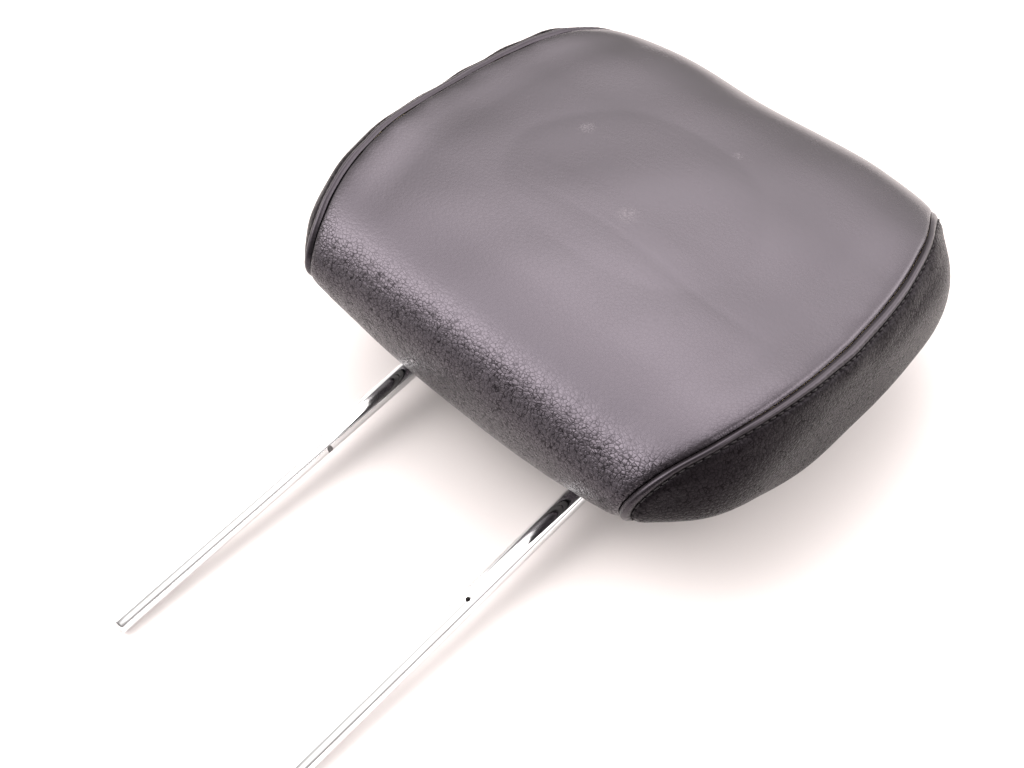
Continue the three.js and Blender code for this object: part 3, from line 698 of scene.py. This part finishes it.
# ------------------------------------------------------------------ materials
class Graph:
    """Short names for building a node material."""

    def __init__(self, name):
        self.mat = bpy.data.materials.new(name)
        self.mat.use_nodes = True
        self.tree = self.mat.node_tree
        self.tree.nodes.clear()
        self.out = self.add("ShaderNodeOutputMaterial")
        self.shader = self.add("ShaderNodeBsdfPrincipled")
        self.link(self.shader.outputs[0], self.out.inputs[0])

    def add(self, kind, **props):
        node = self.tree.nodes.new(kind)
        for k, v in props.items():
            setattr(node, k, v)
        return node

    def link(self, a, b):
        self.tree.links.new(a, b)

    def put(self, socket, value):
        if isinstance(value, bpy.types.NodeSocket):
            self.link(value, socket)
        else:
            socket.default_value = value

    def math(self, op, a, b=None, c=None, clamp=False):
        node = self.add("ShaderNodeMath", operation=op, use_clamp=clamp)
        for i, v in enumerate((a, b, c)):
            if v is not None:
                self.put(node.inputs[i], v)
        return node.outputs[0]

    def vec(self, op, a, b=None, scale=None):
        node = self.add("ShaderNodeVectorMath", operation=op)
        self.put(node.inputs[0], a)
        if b is not None:
            self.put(node.inputs[1], b)
        if scale is not None:
            self.put(node.inputs["Scale"], scale)
        return node

    def ramp(self, value, a, b, lo=0.0, hi=1.0, smooth=True):
        node = self.add("ShaderNodeMapRange", interpolation_type="SMOOTHSTEP" if smooth else "LINEAR")
        self.put(node.inputs["Value"], value)
        for key, v in (("From Min", a), ("From Max", b), ("To Min", lo), ("To Max", hi)):
            self.put(node.inputs[key], v)
        return node.outputs[0]

    def noise(self, vector, scale, detail=2.0, rough=0.5):
        node = self.add("ShaderNodeTexNoise")
        self.put(node.inputs["Vector"], vector)
        node.inputs["Scale"].default_value = scale
        node.inputs["Detail"].default_value = detail
        node.inputs["Roughness"].default_value = rough
        return node

    def voronoi(self, vector, scale, feature="DISTANCE_TO_EDGE", smooth=None):
        node = self.add("ShaderNodeTexVoronoi", feature=feature)
        self.put(node.inputs["Vector"], vector)
        node.inputs["Scale"].default_value = scale
        if smooth is not None:
            node.inputs["Smoothness"].default_value = smooth
        return node.outputs["Distance"]

    def mix(self, factor, a, b):
        node = self.add("ShaderNodeMix", data_type="RGBA")
        self.put(node.inputs[0], factor)
        self.put(node.inputs[6], a)
        self.put(node.inputs[7], b)
        return node.outputs[2]

    def attribute(self, name):
        return self.add("ShaderNodeAttribute", attribute_name=name).outputs["Fac"]

    def position(self):
        return self.add("ShaderNodeTexCoord").outputs["Object"]

    def bump(self, height, distance, strength=1.0, normal=None):
        node = self.add("ShaderNodeBump")
        self.put(node.inputs["Height"], height)
        node.inputs["Strength"].default_value = strength
        node.inputs["Distance"].default_value = distance
        if normal is not None:
            self.link(normal, node.inputs["Normal"])
        return node.outputs[0]

    def set(self, **values):
        for k, v in values.items():
            self.put(self.shader.inputs[k.replace("_", " ")], v)


def spot(g, at, centre, radius, soft):
    """1 at centre, fading out at radius, in metres."""
    d = g.vec("DISTANCE", at, centre).outputs["Value"]
    return g.ramp(d, radius * (1 - soft), radius, 1.0, 0.0)


SCUFFS = []  # filled in below from the face: centre, radius
DARK_DOTS = []


def leather_material(name, dark, light, rough, level, welt_highlight=0.0):
    g = Graph(name)
    at = g.position()
    # pebbled grain: cells about 1.5 mm, drawn out across the width, their walls bent by noise
    bend = g.noise(at, 420, 2.0, 0.55)
    shift = g.vec("SCALE", g.vec("SUBTRACT", bend.outputs["Color"], (0.5, 0.5, 0.5)).outputs[0], scale=0.0011).outputs[0]
    drawn = g.add("ShaderNodeMapping", vector_type="POINT")
    g.link(g.vec("ADD", at, shift).outputs[0], drawn.inputs["Vector"])
    drawn.inputs["Scale"].default_value = (0.78, 1.0, 1.0)
    walls = g.voronoi(drawn.outputs[0], 600)
    pebble = g.ramp(walls, 0.0, 0.15)
    dome = g.voronoi(drawn.outputs[0], 600, "SMOOTH_F1", 0.5)
    fine = g.noise(at, 2600, 2.0, 0.6).outputs[0]
    grain = g.attribute("grain")
    deep = g.math("MULTIPLY", grain, grain)
    # low wrinkles a few millimetres apart, across the pull of the hide
    stretched = g.add("ShaderNodeMapping", vector_type="POINT")
    g.link(at, stretched.inputs["Vector"])
    stretched.inputs["Scale"].default_value = (0.55, 1.0, 1.0)
    wrinkle = g.noise(stretched.outputs[0], 560, 3.0, 0.55).outputs[0]
    height = g.math("MULTIPLY_ADD", pebble, 0.5, g.math("MULTIPLY", dome, -1.2))
    height = g.math("MULTIPLY", height, g.math("MULTIPLY_ADD", deep, 0.95, 0.10))
    height = g.math("MULTIPLY_ADD", fine, 0.06, height)
    height = g.math("MULTIPLY_ADD", wrinkle, g.math("MULTIPLY_ADD", deep, 3.4, 0.35), height)
    normal = g.bump(height, 0.00010, 1.0)
    # colour: dark aubergine black and uneven dye, with painted shade darkening the walls of the grain
    cloud = g.noise(at, 26, 4.0, 0.6).outputs[0]
    patch = g.noise(at, 7, 2.0, 0.5).outputs[0]
    tone = g.math("ADD", g.ramp(cloud, 0.3, 0.7, 0.0, 0.55), g.ramp(patch, 0.35, 0.65, 0.0, 0.45))
    colour = g.mix(tone, dark, light)
    # painted shade: the colour is darkened in the walls of the grain, more where the grain is deep
    shade = g.math("MULTIPLY", g.math("SUBTRACT", 1.0, pebble), g.math("MULTIPLY_ADD", grain, 0.5, 0.12))
    colour = g.mix(shade, colour, (dark[0] * 0.35, dark[1] * 0.35, dark[2] * 0.35, 1))
    roughness = g.math("MULTIPLY_ADD", cloud, 0.10, rough - 0.05)
    roughness = g.math("MULTIPLY_ADD", shade, 0.22, roughness)
    worn = 0.0
    for centre, radius in SCUFFS:
        s = g.math("MULTIPLY", spot(g, at, centre, radius, 0.9), g.ramp(g.noise(at, 900, 3.0, 0.7).outputs[0], 0.42, 0.66))
        worn = s if isinstance(worn, float) else g.math("MAXIMUM", worn, s)
    if not isinstance(worn, float):
        colour = g.mix(g.math("MULTIPLY", worn, 0.26), colour, (0.23, 0.21, 0.22, 1))
        roughness = g.math("MULTIPLY_ADD", worn, 0.15, roughness)
    for centre, radius in DARK_DOTS:
        colour = g.mix(spot(g, at, centre, radius, 0.4), colour, (0.003, 0.002, 0.002, 1))
        roughness = g.math("MULTIPLY_ADD", spot(g, at, centre, radius, 0.4), 0.5, roughness)
    # painted shade: the creases of the grain lose most of their specular, as no light gets into them; painted
    # highlight: the welt beside the seam gets extra specular
    crease = g.math("MULTIPLY", g.math("SUBTRACT", 1.0, pebble), g.ramp(deep, 0.0, 0.75))
    crease = g.math("MULTIPLY", crease, g.ramp(g.noise(at, 430, 2.0, 0.5).outputs[0], 0.34, 0.60, 0.12, 1.0))
    gloss = g.math("MULTIPLY_ADD", crease, -0.85 * level, level)
    if welt_highlight:
        gloss = g.math("MULTIPLY_ADD", g.ramp(g.attribute("seam"), 103.4, 106.0, 1.0, 0.0), welt_highlight, gloss)
    g.shader.inputs["Specular IOR Level"].default_value = level
    g.set(Base_Color=colour, Roughness=roughness, Normal=normal, Specular_IOR_Level=gloss)
    g.shader.inputs["IOR"].default_value = 1.5
    g.shader.inputs["Specular Tint"].default_value = (0.96, 0.865, 1.0, 1)
    return g.mat


def thread_material():
    g = Graph("thread")
    at = g.position()
    twist = g.noise(at, 2100, 2.0, 0.6).outputs[0]
    strands = g.voronoi(at, 3000)
    height = g.math("MULTIPLY_ADD", strands, 1.2, twist)
    colour = g.mix(g.ramp(twist, 0.3, 0.7), (0.006, 0.005, 0.006, 1), (0.016, 0.013, 0.015, 1))
    g.set(Base_Color=colour, Roughness=g.math("MULTIPLY_ADD", twist, 0.2, 0.55), Normal=g.bump(height, 0.00012, 0.9))
    g.shader.inputs["Specular IOR Level"].default_value = 0.30
    return g.mat


POST_SPOTS = [((0.0612, -0.0955, 0.0200), 0.0016)]


def chrome_material():
    g = Graph("chrome")
    at = g.position()
    drawn = g.add("ShaderNodeMapping", vector_type="POINT")
    g.link(at, drawn.inputs["Vector"])
    drawn.inputs["Scale"].default_value = (1.0, 0.03, 1.0)
    streaks = g.noise(drawn.outputs[0], 2400, 3.0, 0.6).outputs[0]
    haze = g.noise(at, 60, 4.0, 0.6).outputs[0]
    peel = g.noise(at, 210, 1.0, 0.4).outputs[0]
    specks = g.voronoi(at, 190, "F1")
    speck = g.ramp(specks, 0.018, 0.035, 1.0, 0.0)
    notch = g.attribute("notch")
    colour = g.mix(g.ramp(haze, 0.35, 0.7, 0.0, 1.0), (0.83, 0.84, 0.85, 1), (0.76, 0.765, 0.77, 1))
    colour = g.mix(g.math("MULTIPLY", speck, 0.55), colour, (0.10, 0.09, 0.08, 1))
    # the notches are darkened: partly grime, partly painted shade for the dark surroundings they reflect
    colour = g.mix(g.math("MULTIPLY", notch, 0.82), colour, (0.045, 0.042, 0.04, 1))
    for centre, radius in POST_SPOTS:
        colour = g.mix(spot(g, at, centre, radius, 0.35), colour, (0.012, 0.010, 0.010, 1))
    rough = g.math("MULTIPLY_ADD", streaks, 0.05, 0.035)
    rough = g.math("MULTIPLY_ADD", g.ramp(haze, 0.45, 0.75), 0.05, rough)
    rough = g.math("MULTIPLY_ADD", notch, 0.25, rough)
    normal = g.bump(peel, 0.00003, 0.5)
    normal = g.bump(streaks, 0.000006, 0.5, normal)
    g.set(Base_Color=colour, Roughness=rough, Normal=normal)
    g.shader.inputs["Metallic"].default_value = 1.0
    return g.mat


def plastic_material():
    g = Graph("plastic")
    at = g.position()
    spark = g.voronoi(at, 1500, "F1")
    flow = g.noise(at, 35, 3.0, 0.5).outputs[0]
    colour = g.mix(g.ramp(flow, 0.3, 0.7), (0.012, 0.012, 0.013, 1), (0.022, 0.022, 0.023, 1))
    g.set(Base_Color=colour, Roughness=g.math("MULTIPLY_ADD", flow, 0.14, 0.46), Normal=g.bump(spark, 0.00008, 0.6))
    return g.mat


def foam_material():
    g = Graph("foam")
    at = g.position()
    cells = g.voronoi(at, 900)
    big = g.voronoi(at, 260, "F1")
    cloud = g.noise(at, 18, 3.0, 0.6).outputs[0]
    colour = g.mix(g.ramp(cloud, 0.3, 0.7), (0.62, 0.52, 0.31, 1), (0.74, 0.66, 0.45, 1))
    # painted shade in the hollows between the foam's cells
    colour = g.mix(g.ramp(cells, 0.0, 0.12, 0.5, 0.0), colour, (0.35, 0.28, 0.15, 1))
    # the foam is coloured near black for y from 12 to 40 mm, along the closed lip
    lip = g.ramp(g.vec("DOT_PRODUCT", at, (0.0, 1.0, 0.0)).outputs["Value"], 0.012, 0.040, 1.0, 0.0)
    colour = g.mix(lip, colour, (0.012, 0.010, 0.011, 1))
    height = g.math("MULTIPLY_ADD", big, 0.6, cells)
    g.set(Base_Color=colour, Roughness=g.math("MULTIPLY_ADD", cloud, 0.1, 0.85), Normal=g.bump(height, 0.0005, 0.8))
    return g.mat


def zinc_material():
    g = Graph("screw_zinc")
    at = g.position()
    spangle = g.voronoi(at, 700, "F1")
    haze = g.noise(at, 240, 3.0, 0.6).outputs[0]
    colour = g.mix(g.ramp(haze, 0.3, 0.7), (0.50, 0.51, 0.47, 1), (0.66, 0.66, 0.60, 1))
    g.set(Base_Color=colour, Roughness=g.math("MULTIPLY_ADD", spangle, 0.3, 0.24), Normal=g.bump(haze, 0.00005, 0.5))
    g.shader.inputs["Metallic"].default_value = 1.0
    return g.mat


def floor_material():
    g = Graph("floor")
    at = g.position()
    cloud = g.noise(at, 3.0, 3.0, 0.5).outputs[0]
    colour = g.mix(cloud, (0.595, 0.568, 0.560, 1), (0.615, 0.587, 0.579, 1))
    g.set(Base_Color=colour, Roughness=g.math("MULTIPLY_ADD", cloud, 0.1, 0.62))
    return g.mat


# ------------------------------------------------------------------ camera
LENS = 47.43
AZ, EL, ROLL, DIST = math.radians(47.2807), math.radians(53.3240), math.radians(-3.7140), 0.692964
TARGET = np.array([-0.001490, 0.000033, 0.040])
fw = np.array([-math.sin(AZ) * math.cos(EL), math.cos(AZ) * math.cos(EL), -math.sin(EL)])
right = unit(np.cross(fw, [0, 0, 1.0]))
up = np.cross(right, fw)
right, up = right * math.cos(ROLL) + up * math.sin(ROLL), -right * math.sin(ROLL) + up * math.cos(ROLL)
eye = TARGET - fw * DIST
cam_data = bpy.data.cameras.new("camera")
cam_data.lens, cam_data.sensor_width, cam_data.sensor_fit = LENS, 36.0, "HORIZONTAL"
cam_data.clip_start, cam_data.clip_end = 0.02, 60
cam = bpy.data.objects.new("camera", cam_data)
bpy.context.scene.collection.objects.link(cam)
cam.matrix_world = Matrix(((right[0], up[0], -fw[0], eye[0]), (right[1], up[1], -fw[1], eye[1]), (right[2], up[2], -fw[2], eye[2]), (0, 0, 0, 1)))
bpy.context.scene.camera = cam


# ------------------------------------------------------------------ build
centre = build_centre()
left_side = build_side(-1)
right_side = build_side(1)
left_thread = build_stitches(-1, *left_side[1:])
right_thread = build_stitches(1, *right_side[1:])
left_side, right_side = left_side[0], right_side[0]
stay = build_stay()

# marks of use, given by where they are on the face, in metres of the row frame
SCUFFS += [((-0.0510, 0.1107, 0.1100), 0.0060), ((0.0080, 0.0757, 0.1120), 0.0075), ((0.0190, 0.1487, 0.1080), 0.0040)]
DARK_DOTS += [((-0.0200, -0.0193, 0.1070), 0.0010)]

leather = leather_material("leather_dark", (0.0042, 0.0034, 0.0039, 1), (0.0075, 0.0060, 0.0069, 1), 0.24, 0.62)
# painted shade: the gusset uses the face leather with far less specular, so the sides read darker than the face; its
# welt gets a painted highlight
leather_shaded_side = leather_material("leather_gusset_shaded", (0.0042, 0.0034, 0.0039, 1), (0.0075, 0.0060, 0.0069, 1), 0.28, 0.10, 0.34)
materials = {"leather": leather, "leather_shaded_side": leather_shaded_side, "thread": thread_material(), "chrome": chrome_material(), "plastic": plastic_material(),
             "foam": foam_material(), "zinc": zinc_material(), "floor": floor_material()}


def dress(ob, key):
    ob.data.materials.clear()
    ob.data.materials.append(materials[key])


def dress_node(name, key):
    ob = nodes[name]
    if not ob.data.materials:
        ob.data.materials.append(materials[key])
    for slot in ob.material_slots:
        slot.material = materials[key]


dress(centre, "leather")
for ob in (left_side, right_side):
    dress(ob, "leather_shaded_side")
for ob in (left_thread, right_thread):
    dress(ob, "thread")
dress(stay, "chrome")
for name in ("carrier_tray_front", "carrier_tray_rear", "closure_strip_hook", "closure_strip_catch", "post_bezel_left", "post_bezel_right"):
    dress_node(name, "plastic")
for i in range(1, 5):
    dress_node(f"carrier_screw_{i}", "zinc")
dress_node("foam_pad", "foam")

for ob, node, slot_name in ((centre, "cover_centre_panel", "leather"), (left_side, "cover_side_panel_left", "leather"),
                            (right_side, "cover_side_panel_right", "leather"), (left_thread, "top_stitch_left", "thread"),
                            (right_thread, "top_stitch_right", "thread"), (stay, "stay_tube", "chrome")):
    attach(ob, "root")
    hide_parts(node)

# ------------------------------------------------------------------ floor and light
bm = bmesh.new()
bmesh.ops.create_grid(bm, x_segments=8, y_segments=8, size=6.0)
floor_mesh = bpy.data.meshes.new("floor")
bm.to_mesh(floor_mesh)
bm.free()
floor = bpy.data.objects.new("floor", floor_mesh)
bpy.context.scene.collection.objects.link(floor)
floor_mesh.materials.append(materials["floor"])



def area(name, location, size, radiance, colour=(1, 1, 1)):
    """A soft panel that hangs level and shines down."""
    data = bpy.data.lights.new(name, "AREA")
    data.shape = "RECTANGLE"
    data.size, data.size_y = size
    data.energy = radiance * math.pi * size[0] * size[1]
    data.color = colour
    ob = bpy.data.objects.new(name, data)
    bpy.context.scene.collection.objects.link(ob)
    ob.location = Vector(location)
    return ob


area("overhead", (-0.45, -0.42, 1.55), (1.0, 1.3), 1.13)

# the room: broad soft lights, each given by the direction it comes from and its brightness there
KAPPA = 18.0
SOFT_LIGHTS = [((-0.35, 0.35), 7.4), ((-0.35, -0.35), 3.2), ((-0.60, -0.35), 9.0), ((-0.35, 0.68), 2.3), ((0.0, 0.75), 1.3),
               ((0.35, 0.68), 2.9), ((0.65, 0.35), 6.6), ((-0.50, 0.82), 0.56), ((-0.50, -0.82), 1.7), ((-0.98, 0.02), 1.6), ((0.0, 0.97), 1.02),
               ((0.50, 0.82), 5.74)]

world = bpy.data.worlds.new("studio")
bpy.context.scene.world = world
world.use_nodes = True
wt = world.node_tree
wt.nodes.clear()
w_out = wt.nodes.new("ShaderNodeOutputWorld")
w_bg = wt.nodes.new("ShaderNodeBackground")
w_tc = wt.nodes.new("ShaderNodeTexCoord")


def world_math(op, a, b=None, c=None):
    node = wt.nodes.new("ShaderNodeMath")
    node.operation = op
    for i, v in enumerate((a, b, c)):
        if isinstance(v, bpy.types.NodeSocket):
            wt.links.new(v, node.inputs[i])
        elif v is not None:
            node.inputs[i].default_value = v
    return node.outputs[0]


strength = world_math("ADD", 0.35, 0.0)
for (lx, ly), level in SOFT_LIGHTS:
    w_dot = wt.nodes.new("ShaderNodeVectorMath")
    w_dot.operation = "DOT_PRODUCT"
    w_dot.inputs[1].default_value = (lx, ly, math.sqrt(1 - lx * lx - ly * ly))
    wt.links.new(w_tc.outputs["Generated"], w_dot.inputs[0])
    spread = world_math("EXPONENT", world_math("MULTIPLY_ADD", w_dot.outputs["Value"], KAPPA, -KAPPA))
    strength = world_math("MULTIPLY_ADD", spread, level, strength)
wt.links.new(strength, w_bg.inputs["Strength"])
w_bg.inputs["Color"].default_value = (1.0, 0.95, 0.935, 1)
wt.links.new(w_bg.outputs[0], w_out.inputs[0])

bpy.context.scene.view_settings.view_transform = "Standard"
